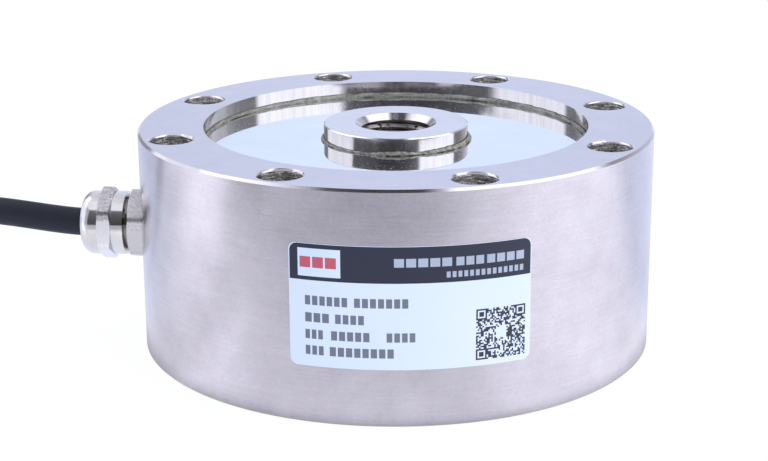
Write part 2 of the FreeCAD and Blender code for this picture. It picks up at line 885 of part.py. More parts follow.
def make_cable_end():
    """The far end lies on the coil, with its cores stripped and tinned."""
    radius = dims.coil_turn_radius.value - dims.end_inset.value
    height = dims.coil_height.value + cable_radius.value
    start = dims.end_start_angle.value
    stop = dims.end_stop_angle.value
    arc = Part.Arc(
        on_coil(start, radius, height),
        on_coil((start + stop) / 2, radius, height),
        on_coil(stop, radius, height),
    )
    keep_shape("cable_end", tube_along(Part.Wire(arc.toShape()), cable_radius.value))
    core_radius = dims.core_diameter.value / 2
    resting = dims.coil_height.value + core_radius
    ahead = FreeCAD.Rotation(Z_AXIS, stop).multVec(Y_AXIS)
    tips = []
    for number, name in enumerate(CORE_NAMES):
        across, up = core_place(number)
        points = [on_coil(stop, radius, height + up) + ahead.cross(Z_AXIS) * across]
        points.append(points[0] + ahead * CORE_START)
        for angle, share in CORE_WAY:
            aside = across + (CORE_SIDES[name] - across) * share
            lift = height + up + (resting - height - up) * share
            points.append(on_coil(stop + angle, radius + aside, lift))
        wire, _ = rounded_route(points)
        keep_shape(f"outer_core_{name}", tube_along(wire, core_radius))
        way = (points[-1] - points[-2]).normalize()
        tips.append(
            Part.makeCylinder(dims.tip_diameter.value / 2, dims.tip_length.value, points[-1], way)
        )
    keep_shape("core_tips", Part.makeCompound(tips))


# Label

def make_label():
    low = dims.label_middle_height - dims.label_height / 2
    high = dims.label_middle_height + dims.label_height / 2
    outer = rim_radius + dims.label_thickness
    arc = math.degrees(dims.label_width.value / rim_radius.value)
    label = turned(
        "rating_label",
        [(rim_radius, low), (outer, low), (outer, high), (rim_radius, high)],
        angle=as_size(arc),
    )
    round_edges(
        label,
        "label_corners",
        dims.label_corner_radius,
        lambda edge: is_straight(edge, dims.label_thickness),
    )
    label.Placement = FreeCAD.Placement(
        ORIGIN, FreeCAD.Rotation(Z_AXIS, dims.label_middle_angle.value)
    )
    keep("rating_label", label)


def check_and_write():
    doc.recompute()
    for item in doc.Objects:
        if "Invalid" in item.State or "Error" in item.State:
            raise RuntimeError(f"{item.Name} is {item.State}")
    for item in sub_parts:
        if item.Shape.isNull() or not item.Shape.isValid():
            raise RuntimeError(f"{item.Label} has no valid shape")
    os.makedirs("parts", exist_ok=True)
    for item in sub_parts:
        item.Shape.exportStep(f"parts/{item.Label}.step")
        print(item.Label, round(item.Shape.Volume, 2), len(item.Shape.Solids))


make_spoke_body()
make_discs()
make_welds()
make_gauges()
make_terminal_strip()
make_wiring()
make_gland_washer()
make_gland_body()
make_gland_claw()
make_gland_seal()
make_gland_nut()
make_cable_entry()
make_free_cable()
make_coil()
make_coil_tie()
make_cable_end()
make_label()
check_and_write()
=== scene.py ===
import math
import random

import bmesh
import bpy
import numpy as np
from mathutils import Matrix, Vector, noise


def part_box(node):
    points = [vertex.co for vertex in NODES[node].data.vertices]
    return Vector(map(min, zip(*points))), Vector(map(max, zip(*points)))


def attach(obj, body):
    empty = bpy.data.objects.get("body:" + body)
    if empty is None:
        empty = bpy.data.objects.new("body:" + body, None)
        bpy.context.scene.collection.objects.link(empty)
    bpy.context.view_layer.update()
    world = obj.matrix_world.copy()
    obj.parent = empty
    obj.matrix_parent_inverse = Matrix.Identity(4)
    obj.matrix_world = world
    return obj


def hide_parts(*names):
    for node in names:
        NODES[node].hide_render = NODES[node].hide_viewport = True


# The looks of a spoke type load cell: turned steel, welded discs, a plated cable gland, a label
# and a black cable, in a white studio. The frame is in metres, and sizes here are in millimetres.
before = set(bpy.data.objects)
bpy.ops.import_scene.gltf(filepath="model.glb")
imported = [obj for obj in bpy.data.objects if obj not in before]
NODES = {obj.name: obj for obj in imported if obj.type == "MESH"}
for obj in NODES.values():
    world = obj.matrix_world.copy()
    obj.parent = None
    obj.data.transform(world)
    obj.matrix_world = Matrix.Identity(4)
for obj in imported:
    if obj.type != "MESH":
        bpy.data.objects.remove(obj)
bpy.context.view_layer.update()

MM = 0.001

# Sizes of the turned body
RIM_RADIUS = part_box("spoke_body")[1].x / MM
BODY_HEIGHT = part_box("spoke_body")[1].z / MM
RECESS_RADIUS = 40.0
HUB_RADIUS = 15.0
DISC_DEPTH = 3.4
BOLT_CIRCLE_RADIUS = 47.5
BOLT_COUNT = 8
FIRST_BOLT_ANGLE = 22.5
BOLT_MOUTH_RADIUS = 4.65
BOLT_MOUTH_DEPTH = 0.4
EDGE_BREAK = 0.5
HUB_EDGE_BREAK = 0.2
THREAD_CORE_RADIUS = 7.25
THREAD_MOUTH_RADIUS = 8.5
TURNED_RADII = (
    RIM_RADIUS, RIM_RADIUS - EDGE_BREAK, RECESS_RADIUS, HUB_RADIUS, HUB_RADIUS - HUB_EDGE_BREAK,
    THREAD_MOUTH_RADIUS, THREAD_CORE_RADIUS,
)
THREAD_RADIUS = 8.0
THREAD_PITCH = 1.5
THREAD_LOW_END = 2.35
THREAD_HIGH_END = BODY_HEIGHT - 1.35
THREAD_RUNOUT = 0.6
THREAD_START_ANGLE = 165.0
THREAD_STEPS = 72
# The thread's cutter: its core's gap to the hole, and where its crest starts and tops out in a pitch
CUTTER_GAP = 0.1
CREST_START = 0.10
CREST_TOP = 0.4375

# Corners of the body that are this close together are merged
MERGE_GAP = 0.002
# How near a face or a corner has to be to a surface to count as part of it
CORNER_GAP = 0.02
CONE_CORNER_GAP = 0.03
CONE_FACE_GAP = 0.08
BOLT_HOLE_GAP = 0.05
RECESS_GAP = 0.1
WALL_GAP = 0.2
# The upward part of a normal: at least so much on level faces and on edges, at most so much on walls
LEVEL_FACE = 0.99
SLOPING_EDGE = 0.5
UPRIGHT_WALL = 0.1

# The gland's axis, and where its surfaces give way to each other: at the radii of its hexagons' flats
# and of its neck, at the nut's inner end, and at the edge below the upper flats
GLAND_HEIGHT = BODY_HEIGHT / 2
FLATS_RADII = (6.86, 6.94)
NECK_RADII = (6.3, 6.0)
NUT_END = (-58.0, -57.9)
NUT_EDGE_HEIGHT = 2.0
FLATS_FADE = 0.6

# Legs of the weld beads, each with its angle in degrees to the right of the camera's side
HUB_BEAD_LEGS = [
    (-180, 0.7), (-72, 0.6), (-55, 0.5), (-37, 0.42), (-24, 0.38), (-19, 0.42), (-14, 0.7), (-8, 0.84),
    (-2, 0.88), (6, 0.82), (12, 0.68), (16, 0.5), (20, 0.5), (25, 0.68), (38, 0.76), (53, 0.8), (75, 0.8),
    (180, 0.7),
]
RIM_BEAD_LEGS = [
    (-180, 0.93), (-160, 0.9), (-128, 0.78), (-100, 0.6), (-60, 0.65),
    (60, 0.7), (100, 0.7), (130, 0.8), (150, 0.92), (180, 0.93),
]
# A bead's steps, how far its lumps are drawn out along it, and the length and slant of its laps
BEAD_STEP = 0.12
BEAD_ARC_STEPS = 8
HUB_BEAD_STRETCH = 1.0
RIM_BEAD_STRETCH = 2.8
LAP_LENGTH = 1.3
LAP_SLANT = 2.5
# Noise on a bead, as strengths and scales
DRIFT_RADIUS = 20.0
LEG_DRIFT = [(0.07, 0.5), (0.06, 1.4)]
BEAD_LUMPS = [(0.22, 1.0), (0.12, 2.6)]
LAP_WANDER = [(5.0, 0.35)]
TOE_PATCHES = [(1.7, 0.55)]
# Painted light and shade on a bead's skin: its lightness all over, painted highlights and shade by its
# lumps and laps, and painted shade at its toes, broken by pale patches on the disc's side
SKIN_SHADE = 0.9
LUMP_PAINTED_LIGHT = 1.4
LAP_PAINTED_LIGHT = 0.10
TOE_PAINTED_SHADE_FADE = 1.5
DISC_TOE_SHADE = 0.85
DISC_TOE_LIMIT = 0.95

# The camera's place round the load axis, its roll in radians, and the photograph's frame in pixels. The
# camera's side is an angle from the frame's x axis.
CAMERA_AZIMUTH = 4.6
CAMERA_SIDE = CAMERA_AZIMUTH - 90.0
CAMERA_ELEVATION = 16.766
CAMERA_DISTANCE = 379.5
CAMERA_AIM_HEIGHT = 22.88
CAMERA_ROLL = -0.0032
FOCAL_PIXELS = 1785.21
FRAME_WIDTH = 768
FRAME_HEIGHT = 461
AIM_PIXEL = (396.04, 228.79)
SENSOR_WIDTH = 36.0
CLIP_START = 10.0

# Walls that only mirrors show: the tent round the part, and a dark card with a pale flap beside the gland.
# A profile is of radii and heights, and the sides are in degrees to the right of the camera's side.
WALL_STEP = 2.0
TENT_MIDDLE = (0.0, 0.0)
TENT_PROFILE = [(250.0, 47.0), (250.0, 200.0)]
TENT_SIDES = (-180.0, 180.0)
CARD_MIDDLE = (-63.0, 0.0)
CARD_PROFILE = [(90.0, 31.0), (74.0, 53.0), (55.0, 66.0), (34.0, 72.0), (20.0, 74.0), (8.0, 75.0)]
CARD_SIDES = (-34.0, -9.5)
FLAP_PROFILE = [(36.0, 74.0), (8.0, 76.0)]
FLAP_SIDES = (-100.0, -34.0)

# The table: its size, its gap to the part, and the distances over which its colours change
TABLE_REACH = 4000.0
TABLE_GAP = 0.1
FAR_TABLE_FROM = (70.0, 190.0)
BODY_SHADE = (50.0, 59.0)

# The cable's free stretch, from the gland's nose down to the floor and into the coil
CABLE_ROUTE = [
    (-67.20, 0.00, 23.1), (-70.20, 0.00, 23.1), (-88.00, 2.60, 24.7), (-103.80, 8.60, 23.4),
    (-116.40, 13.60, 17.6), (-128.80, 18.70, 10.1), (-141.52, 24.00, 3.0), (-155.52, 27.75, 3.0),
]
CABLE_RADIUS = 3.0
# The coil's middle, its turns by layer, and the cable's end on it
COIL_MIDDLE = (-167.3, -16.2)
COIL_ENTRY_ANGLE = 75.0
COIL_OUTER_TURN = 45.5
COIL_LAYERS = 4
COIL_TURNS = 3.1
COIL_WOUND = COIL_LAYERS * COIL_TURNS
COIL_STEPS = 24
COIL_RISE = 0.16
CABLE_END_ANGLE = 330.0
CABLE_END_RADIUS = 44.6

# Label on the front of the rim
LABEL_WIDTH = 46.4
LABEL_HEIGHT = 24.0
LABEL_CORNER = 1.5
LABEL_MIDDLE_ANGLE = -82.3
LABEL_MIDDLE_HEIGHT = 23.6
LABEL_THICKNESS = 0.12
LABEL_RADIUS = RIM_RADIUS + LABEL_THICKNESS
PRINT_THICKNESS = 0.015
CORNER_STEPS = 6
FIELD_STEP = 1.2
HEADING_FOOT = 28.5
HEADING_SIDE_INSET = 0.15
HEADING_TOP_INSET = 0.1
BOX_SIDES = (-21.4, -13.2)
BOX_HEIGHTS = (29.25, 34.65)
# Rows of plain blocks in groups: the row's middle height, and the ends of each group. A kind of block
# has a pitch and a height.
RED_ROW = (32.0, (-21.0, -14.0))
RED_BLOCKS = (2.45, 2.1)
HEADING_ROWS = [(32.45, (-3.3, 7.4, 8.2, 13.5, 14.1, 21.6)), (30.0, (6.4, 21.5))]
HEADING_BLOCKS = [(2.1, 1.65), (1.1, 1.15)]
LABEL_ROWS = [
    (24.6, (-20.1, -12.0, -10.7, -0.7)),
    (21.25, (-20.1, -15.5, -14.3, -8.9)),
    (17.95, (-20.1, -16.7, -15.1, -7.9, -4.7, 0.6)),
    (14.8, (-20.1, -16.6, -15.4, -3.4)),
]
ROW_BLOCKS = (1.5, 1.8)
BLOCK_GAP = 0.38
# A square mark of tiles, with framed squares in its corners
MARK_LEFT = 12.1
MARK_FOOT = 12.75
MARK_SIZE = 10.0
MARK_TILES = 33
MARK_CORNER = 7
MARK_SHARE = 0.5
MARK_SEED = 5
# The label's prints and their inks
LABEL_INKS = {
    "heading": ("heading_ink", (0.021, 0.024, 0.048)),
    "box": ("white_ink", (0.72, 0.80, 0.93)),
    "red_blocks": ("red_ink", (0.60, 0.10, 0.14)),
    "heading_rows": ("pale_ink", (0.44, 0.48, 0.58)),
    "rows": ("line_ink", (0.17, 0.18, 0.22)),
    "mark": ("mark_ink", (0.030, 0.032, 0.050)),
}


def link(obj):
    bpy.context.scene.collection.objects.link(obj)
    return obj


def polar(radius, angle, height, middle=(0.0, 0.0)):
    """A point at a radius and an angle round an upright axis."""
    return (middle[0] + radius * math.cos(angle), middle[1] + radius * math.sin(angle), height)


def mesh_object(name, points, faces):
    """A mesh in the frame's metres from points in millimetres."""
    mesh = bpy.data.meshes.new(name)
    mesh.from_pydata([[value * MM for value in point] for point in points], [], faces)
    mesh.validate()
    return link(bpy.data.objects.new(name, mesh))


def shade_smooth(mesh, sharp_angle=30.0):
    for face in mesh.polygons:
        face.use_smooth = True
    mesh.set_sharp_from_angle(angle=math.radians(sharp_angle))


# Node trees

def feed(socket, value):
    """Joins another node's socket to an input, or sets a plain value on it."""
    if isinstance(value, bpy.types.NodeSocket):
        socket.id_data.links.new(value, socket)
    else:
        socket.default_value = value


def add_node(tree, kind, inputs=None, **settings):
    """Adds a shader node, sets its options and feeds its inputs."""
    made = tree.nodes.new("ShaderNode" + kind)
    for name, value in settings.items():
        setattr(made, name, value)
    for name, value in (inputs or {}).items():
        feed(made.inputs[name], value)
    return made


def calc(tree, operation, first, second):
    return add_node(tree, "Math", {0: first, 1: second}, operation=operation).outputs[0]


def vector_calc(tree, operation, *vectors):
    """Outputs of a node that works on one or two vectors."""
    return add_node(tree, "VectorMath", dict(enumerate(vectors)), operation=operation).outputs


def blend(tree, *parts):
    """A sum of values, each with its own weight."""
    total = 0.0
    for value, weight in parts:
        total = calc(tree, "ADD", calc(tree, "MULTIPLY", value, weight), total)
    return total


def spread(tree, value, low, high, to_low, to_high):
    """Maps a value from one range to another and holds it there."""
    inputs = {"Value": value, "From Min": low, "From Max": high, "To Min": to_low, "To Max": to_high}
    return add_node(tree, "MapRange", inputs).outputs["Result"]


def fade(tree, value, span, unit=1.0):
    """A share that goes from 0 to 1 over a span of a value."""
    return spread(tree, value, span[0] * unit, span[1] * unit, 0.0, 1.0)


def grey(value, blue=1.12):
    """A grey with a faint blue in it."""
    return (value, value, value * blue)


def ramp(tree, value, stops):
    """A colour by a value, through stops of place and colour, where a plain number is a grey."""
    made = add_node(tree, "ValToRGB", {"Fac": value})
    band = made.color_ramp
    while len(band.elements) < len(stops):
        band.elements.new(1.0)
    for element, (place, colour) in zip(band.elements, stops):
        element.position = place
        element.color = (*(colour if isinstance(colour, tuple) else grey(colour)), 1.0)
    return made.outputs["Color"]


def mix_colours(tree, share, first, second):
    """A mix of two colours, through those of the node's sockets that are for colours."""
    made = add_node(tree, "Mix", {0: share}, data_type="RGBA")
    for number, colour in ((6, first), (7, second)):
        feed(made.inputs[number], colour if isinstance(colour, bpy.types.NodeSocket) else (*colour, 1.0))
    return made.outputs[2]


def new_material(name, metallic=1.0):
    """A material with a principled surface; returns the material, its tree and that surface."""
    material = bpy.data.materials.new(name)
    material.use_nodes = True
    tree = material.node_tree
    surface = tree.nodes["Principled BSDF"]
    surface.inputs["Metallic"].default_value = metallic
    return material, tree, surface


def place(tree):
    return add_node(tree, "TexCoord").outputs["Object"]


def stretched(tree, scale):
    """Texture space with a scale of its own along each axis."""
    return vector_calc(tree, "MULTIPLY", place(tree), scale)["Vector"]


def lathe_place(tree, along, across):
    """Texture space of a turned surface: slow round the axis, fast from groove to groove."""
    here = place(tree)
    parts = add_node(tree, "SeparateXYZ", {0: here}).outputs
    flat = vector_calc(tree, "MULTIPLY", here, (1.0, 1.0, 0.0))["Vector"]
    depth = calc(tree, "ADD", vector_calc(tree, "LENGTH", flat)["Value"], parts["Z"])
    inputs = {axis: calc(tree, "MULTIPLY", parts[axis], along) for axis in "XY"}
    inputs["Z"] = calc(tree, "MULTIPLY", depth, across)
    return add_node(tree, "CombineXYZ", inputs).outputs[0]


def cloud(tree, scale, detail=3.0, roughness=0.5, vector=None):
    """Noise, in the object's own space unless another is given."""
    inputs = {"Vector": vector or place(tree), "Scale": scale, "Detail": detail, "Roughness": roughness}
    return add_node(tree, "TexNoise", inputs).outputs["Fac"]


def paint(surface, **values):
    """Feeds the surface's inputs by their names, with an underscore for a space."""
    for name, value in values.items():
        feed(surface.inputs[name.replace("_", " ")], value)


def bump(tree, surface, height, distance):
    """Bump of a height field, with its depth in millimetres."""
    inputs = {"Height": height, "Distance": distance * MM}
    paint(surface, Normal=add_node(tree, "Bump", inputs).outputs["Normal"])


# Metals

def turned_steel(name, colours, roughness, groove, groove_depth, anisotropic=0.0):
    """Steel off the lathe: grooves round the axis, blotches, a mottled grain and a faint play of hue."""
    material, tree, surface = new_material(name)
    grooves = cloud(tree, 1.0, 2.0, vector=lathe_place(tree, 90.0, 1.0 / (groove * MM)))
    blotches = cloud(tree, 130.0, 5.0, 0.6)
    grain = cloud(tree, 1600.0, 3.0, 0.75)
    hue = cloud(tree, 600.0, 2.0)
    tone = blend(tree, (grooves, 0.2), (blotches, 0.5), (grain, 0.3))
    shade = ramp(tree, tone, [(0.2, colours[0]), (0.8, colours[1])])
    tint = ramp(tree, hue, [(0.3, (1.012, 0.99, 1.0)), (0.7, (0.985, 1.0, 1.015))])
    paint(
        surface,
        Base_Color=vector_calc(tree, "MULTIPLY", shade, tint)["Vector"],
        Roughness=spread(tree, tone, 0.3, 0.7, *roughness),
        Anisotropic=anisotropic,
    )
    if anisotropic:
        # the grooves scatter light across them, up and down the wall
        tangent = add_node(tree, "Tangent", direction_type="RADIAL", axis="Z").outputs[0]
        paint(surface, Anisotropic_Rotation=0.25, Tangent=tangent)
    bump(tree, surface, grooves, groove_depth)
    return material


def satin_wall():
    colours = ((0.49, 0.468, 0.49), (0.77, 0.742, 0.78))
    return turned_steel("satin_steel_wall", colours, (0.20, 0.26), 0.35, 0.004, anisotropic=0.65)


# The body's other turned faces: dark and light colours, roughness, and the grooves' pitch and depth
TURNED_FINISHES = {
    "faced": ("faced_steel", ((0.58, 0.54, 0.575), (0.80, 0.74, 0.795)), (0.26, 0.34), 0.30, 0.003),
    "faced_hub": ("faced_hub_steel", ((0.64, 0.60, 0.615), (0.85, 0.79, 0.815)), (0.20, 0.28), 0.30, 0.002),
    "edge": ("broken_edge_steel", ((0.70, 0.70, 0.71), (0.84, 0.84, 0.85)), (0.08, 0.12), 0.25, 0.001),
    "hub_edge": ("hub_edge_steel", ((0.90, 0.90, 0.91), (0.98, 0.98, 0.98)), (0.10, 0.16), 0.25, 0.001),
}


def polished_steel():
    """The recess's walls: bright, with streaks down the wall and fine specks."""
    material, tree, surface = new_material("polished_steel_wall")
    streaks = cloud(tree, 1.0, 4.0, 0.7, stretched(tree, (700.0, 700.0, 50.0)))
    specks = fade(tree, cloud(tree, 2600.0, 2.0), (0.56, 0.68))
    paint(
        surface,
        Base_Color=ramp(tree, streaks, [(0.3, (0.68, 0.67, 0.67)), (0.7, (0.86, 0.85, 0.85))]),
        Roughness=blend(tree, (streaks, 0.16), (specks, 0.10)),
    )
    return material


def marked_metal(name, marks, stops, roughness, depth):
    """A metal whose colour, roughness and bump all follow the same marks."""
    material, tree, surface = new_material(name)
    tone = marks(tree)
    paint(surface, Base_Color=ramp(tree, tone, stops), Roughness=spread(tree, tone, *roughness))
    bump(tree, surface, tone, depth)
    return material


def drilled_steel():
    """The walls of drilled holes: ridges round the hole from the drill, with bright and dark specks."""

    def marks(tree):
        ridges = cloud(tree, 1.0, 3.0, 0.6, stretched(tree, (420.0, 420.0, 4200.0)))
        specks = cloud(tree, 2600.0, 3.0, 0.8)
        return blend(tree, (ridges, 0.6), (specks, 0.4))

    stops = [(0.40, (0.055, 0.053, 0.048)), (0.52, (0.22, 0.21, 0.195)), (0.64, (0.9, 0.89, 0.87))]
    return marked_metal("drilled_steel", marks, stops, roughness=(0.35, 0.65, 0.5, 0.3), depth=0.12)


def threaded_steel():
    """The tapped hole: bright flanks with darker, brownish roots."""

    def ring_bands(tree):
        return cloud(tree, 1.0, 3.0, vector=lathe_place(tree, 300.0, 2500.0))

    stops = [(0.35, (0.18, 0.165, 0.155)), (0.65, (0.52, 0.50, 0.48))]
    return marked_metal("threaded_steel", ring_bands, stops, roughness=(0.3, 0.7, 0.34, 0.22), depth=0.01)


def milled_steel():
    """The spokes and pockets: end-milled, with short overlapping tool marks."""

    def marks(tree):
        return cloud(tree, 600.0, 2.0)

    stops = [(0.3, (0.50, 0.50, 0.51)), (0.7, (0.62, 0.62, 0.63))]
    return marked_metal("milled_steel", marks, stops, roughness=(0.3, 0.7, 0.28, 0.42), depth=0.01)


def tinned_wire():
    """Bare stranded copper, tinned."""

    def strands(tree):
        return cloud(tree, 2400.0, 2.0)

    stops = [(0.3, (0.62, 0.61, 0.59)), (0.7, (0.80, 0.79, 0.77))]
    return marked_metal("tinned_copper", strands, stops, roughness=(0.3, 0.7, 0.22, 0.38), depth=0.05)


def mirror_disc():
    """A thin polished sealing disc, with a little dust on it."""
    material, tree, surface = new_material("polished_disc")
    haze = cloud(tree, 130.0, 4.0)
    dust = fade(tree, cloud(tree, 2400.0, 2.0, 0.6), (0.60, 0.70))
    paint(
        surface,
        Base_Color=ramp(tree, haze, [(0.3, (0.82, 0.83, 0.84)), (0.7, (0.87, 0.88, 0.89))]),
        Roughness=blend(tree, (haze, 0.06), (dust, 0.3)),
    )
    return material


def weld_metal():
    """A dull weld bead: olive grey, with painted light along its crown and lumps and painted shade along
    both of its toes, and a few dark pits.
    """
    material, tree, surface = new_material("weld_bead", metallic=0.45)
    soot = cloud(tree, 500.0, 4.0, 0.6)
    pits = cloud(tree, 2400.0, 3.0, 0.7)
    # painted light and shade of the bead, from the mesh's shade attribute
    shade = add_node(tree, "Attribute", attribute_name="shade").outputs["Fac"]
    tone = blend(tree, (soot, 0.2), (pits, 0.38), (shade, 0.42))
    stops = [(0.40, (0.03, 0.03, 0.026)), (0.58, (0.20, 0.20, 0.18)), (0.82, (0.52, 0.52, 0.47))]
    paint(
        surface,
        Base_Color=ramp(tree, tone, stops),
        Roughness=spread(tree, tone, 0.3, 0.8, 0.55, 0.32),
    )
    bump(tree, surface, soot, 0.04)
    return material


def nickel_plate():
    """Nickel on brass: bright where turned, grained on the milled flats, with painted light on the lower
    flats and painted shade on the upper ones, and painted shade on the neck's thread in the gap between the
    nut and the body.
    """
    material, tree, surface = new_material("nickel_plating")
    here = add_node(tree, "SeparateXYZ", {0: place(tree)}).outputs
    above = calc(tree, "SUBTRACT", here["Z"], GLAND_HEIGHT * MM)
    from_axis = add_node(tree, "CombineXYZ", {"Y": here["Y"], "Z": above}).outputs[0]
    radius = vector_calc(tree, "LENGTH", from_axis)["Value"]
    on_flats = fade(tree, radius, FLATS_RADII, MM)
    thread_side = fade(tree, here["X"], NUT_END, MM)
    # painted shade on the neck's thread, in the gap between the nut and the body's hexagon
    neck_gap_shade = calc(tree, "MULTIPLY", fade(tree, radius, NECK_RADII, MM), thread_side)
    # the upper flats are the rougher ones and are painted darker, as painted shade, the lower ones lighter,
    # as painted light, and the nut is turned against the body's hexagon
    over_edge = calc(tree, "ADD", above, spread(tree, thread_side, 0.0, 1.0, -NUT_EDGE_HEIGHT * MM, 0.0))
    upper_share = spread(tree, over_edge, 0.0, FLATS_FADE * MM, 0.2, 1.0)
    side_share = spread(tree, thread_side, 0.0, 1.0, 1.0, 0.6)
    grain_and_shade_on_flats = calc(tree, "MULTIPLY", on_flats, calc(tree, "MULTIPLY", upper_share, side_share))
    grain = cloud(tree, 1900.0, 4.0, 0.7)
    haze = cloud(tree, 260.0, 4.0)
    turned = ramp(tree, haze, [(0.3, (0.72, 0.71, 0.69)), (0.7, (0.84, 0.83, 0.81))])
    # the upper flats' grain, in greys darker than the lower flats, as painted shade
    milled = ramp(tree, grain, [(0.34, (0.38, 0.375, 0.375)), (0.64, (0.74, 0.73, 0.73))])
    # painted light on the lower flats: near white on the nut, a darker grey on the body's hexagon
    flats = mix_colours(tree, thread_side, (0.96, 0.95, 0.95), (0.62, 0.61, 0.61))
    smooth = mix_colours(tree, on_flats, turned, flats)
    plated = mix_colours(tree, grain_and_shade_on_flats, smooth, milled)
    paint(
        surface,
        # the neck painted dark, as shade in the gap between the nut and the body's hexagon
        Base_Color=mix_colours(tree, neck_gap_shade, plated, (0.24, 0.22, 0.20)),
        Roughness=blend(tree, (haze, 0.22), (on_flats, 0.16)),
    )
    bump(tree, surface, calc(tree, "MULTIPLY", grain, grain_and_shade_on_flats), 0.014)
    return material


def gauge_foil():
    """Foil gauges: fine metal lines on an amber film."""
    material, tree, surface = new_material("gauge_film", metallic=0.0)
    inputs = {"Vector": place(tree), "Scale": 900.0}
    lines = add_node(tree, "TexWave", inputs, bands_direction="Z").outputs["Fac"]
    metal = fade(tree, lines, (0.45, 0.55))
    paint(
        surface,
        Base_Color=mix_colours(tree, metal, (0.50, 0.22, 0.05), (0.55, 0.50, 0.44)),
        Metallic=metal,
        Roughness=spread(tree, lines, 0.0, 1.0, 0.30, 0.42),
    )
    return material


# Plastics, rubber and film

def moulded(name, dark, light, roughness, scale=900.0, depth=0.01, specular=0.5):
    """A moulded or extruded plastic with a fine grain and a little clouding."""
    material, tree, surface = new_material(name, metallic=0.0)
    grain = cloud(tree, scale, 3.0)
    haze = cloud(tree, scale / 12.0, 3.0)
    paint(
        surface,
        Base_Color=ramp(tree, haze, [(0.3, dark), (0.7, light)]),
        Roughness=spread(tree, grain, 0.3, 0.7, roughness - 0.05, roughness + 0.05),
        Specular_IOR_Level=specular,
    )
    bump(tree, surface, grain, depth)
    return material


def cable_jacket():
    dark, light = (0.0245, 0.0255, 0.036), (0.030, 0.031, 0.045)
    return moulded("cable_sheath", dark, light, roughness=0.42, scale=700.0, depth=0.012, specular=0.15)


def label_film():
    """White polyester film with a faint cool tone."""
    dark, light = (0.77, 0.84, 0.97), (0.81, 0.87, 0.99)
    return moulded("label_film_white", dark, light, roughness=0.35, scale=500.0, depth=0.002)


def ink(name, colour):
    lighter = tuple(min(1.0, 1.15 * value) for value in colour)
    return moulded(name, colour, lighter, roughness=0.42, scale=800.0, depth=0.002)


SLOT_FINISHES = {
    "satin_steel": satin_wall,
    "polished_steel": mirror_disc,
    "weld_steel": weld_metal,
    "nickel_plate": nickel_plate,
    "seal_rubber": lambda: moulded("neoprene", (0.012, 0.012, 0.013), (0.02, 0.02, 0.02), 0.6),
    "claw_plastic": lambda: moulded("polyamide_claw", (0.62, 0.61, 0.57), (0.68, 0.67, 0.63), 0.45),
    "cable_jacket": cable_jacket,
    "tie_plastic": lambda: moulded("polyamide_tie", (0.013, 0.013, 0.014), (0.022, 0.022, 0.023), 0.42),
    "label_film": label_film,
    "gauge_foil": gauge_foil,
    "strip_film": lambda: moulded("polyimide_strip", (0.42, 0.17, 0.03), (0.50, 0.22, 0.05), 0.3),
    "lead_enamel": lambda: moulded("lead_enamel", (0.30, 0.07, 0.02), (0.40, 0.10, 0.03), 0.3),
    "tinned_wire": tinned_wire,
    "core_red": lambda: moulded("core_red_sheath", (0.50, 0.02, 0.02), (0.60, 0.03, 0.03), 0.38),
    "core_green": lambda: moulded("core_green_sheath", (0.02, 0.25, 0.06), (0.03, 0.32, 0.08), 0.38),
    "core_white": lambda: moulded("core_white_sheath", (0.70, 0.70, 0.68), (0.78, 0.78, 0.76), 0.38),
    "core_black": lambda: moulded("core_black_sheath", (0.01, 0.01, 0.011), (0.02, 0.02, 0.021), 0.38),
}
finishes = {slot: make() for slot, make in SLOT_FINISHES.items()}


def dress_nodes():
    """Gives every node of the frame the finish of its own slot."""
    for node in NODES.values():
        slot = node.data.materials[0].name.split(".")[0]
        node.material_slots[0].material = finishes[slot]


# The turned body with its tapped hub

def thread_cutter():
    """A screw whose crests cut the thread's grooves into the hub's plain hole."""
    inside = THREAD_CORE_RADIUS - CUTTER_GAP
    profile = [(0.0, inside), (CREST_START, inside), (CREST_TOP, THREAD_RADIUS)]
    profile += [(1.0 - CREST_TOP, THREAD_RADIUS), (1.0 - CREST_START, inside)]
    steps = THREAD_STEPS
    turns = math.ceil(BODY_HEIGHT / THREAD_PITCH) + 2
    rows = [(turn + share, radius) for turn in range(turns) for share, radius in profile]
    points = []
    for rise, radius in rows:
        for step in range(steps):
            angle = math.tau * step / steps + math.radians(THREAD_START_ANGLE)
            height = (rise + step / steps - 1.0) * THREAD_PITCH
            to_end = min(height - THREAD_LOW_END, THREAD_HIGH_END - height)
            depth = (radius - inside) * min(max(to_end / THREAD_RUNOUT, 0.0), 1.0)
            points.append(polar(inside + depth, angle, height))
    last_row = len(rows) - len(profile) - 1

    def corner(row, step):
        return row * steps + step if step < steps else (row + len(profile)) * steps

    faces = []
    for row in range(last_row):
        for step in range(steps):
            below = (corner(row, step), corner(row, step + 1))
            faces.append((*below, corner(row + 1, step + 1), corner(row + 1, step)))
    for row, order in ((0, -1), (last_row, 1)):
        edge = [corner(row, step) for step in range(steps + 1)]
        edge += [corner(row + back, 0) for back in range(len(profile) - 1, 0, -1)]
        middle = len(points)
        points.append((0.0, 0.0, points[edge[0]][2]))
        for first, second in zip(edge, edge[1:] + edge[:1]):
            faces.append((middle, second, first)[::order])
    return mesh_object("thread_cutter", points, faces)


def near_bolt_hole(x, y):
    """Whether a spot lies in the mouth of a bolt hole."""
    for number in range(BOLT_COUNT):
        angle = math.radians(FIRST_BOLT_ANGLE + 360.0 * number / BOLT_COUNT)
        hole_x, hole_y, _ = polar(BOLT_CIRCLE_RADIUS, angle, 0.0)
        if math.hypot(x - hole_x, y - hole_y) < BOLT_MOUTH_RADIUS + BOLT_HOLE_GAP:
            return True
    return False


def depth_from_end(height):
    """How deep a height is below the nearer of the body's top and underside."""
    return min(height, BODY_HEIGHT - height)


def on_mouth_cone(radius, height, gap):
    """Whether a spot lies on the cone at one of the mouths of the hub's hole."""
    off_cone = abs(radius + depth_from_end(height) - THREAD_MOUTH_RADIUS)
    return radius > THREAD_CORE_RADIUS - gap and off_cone < gap


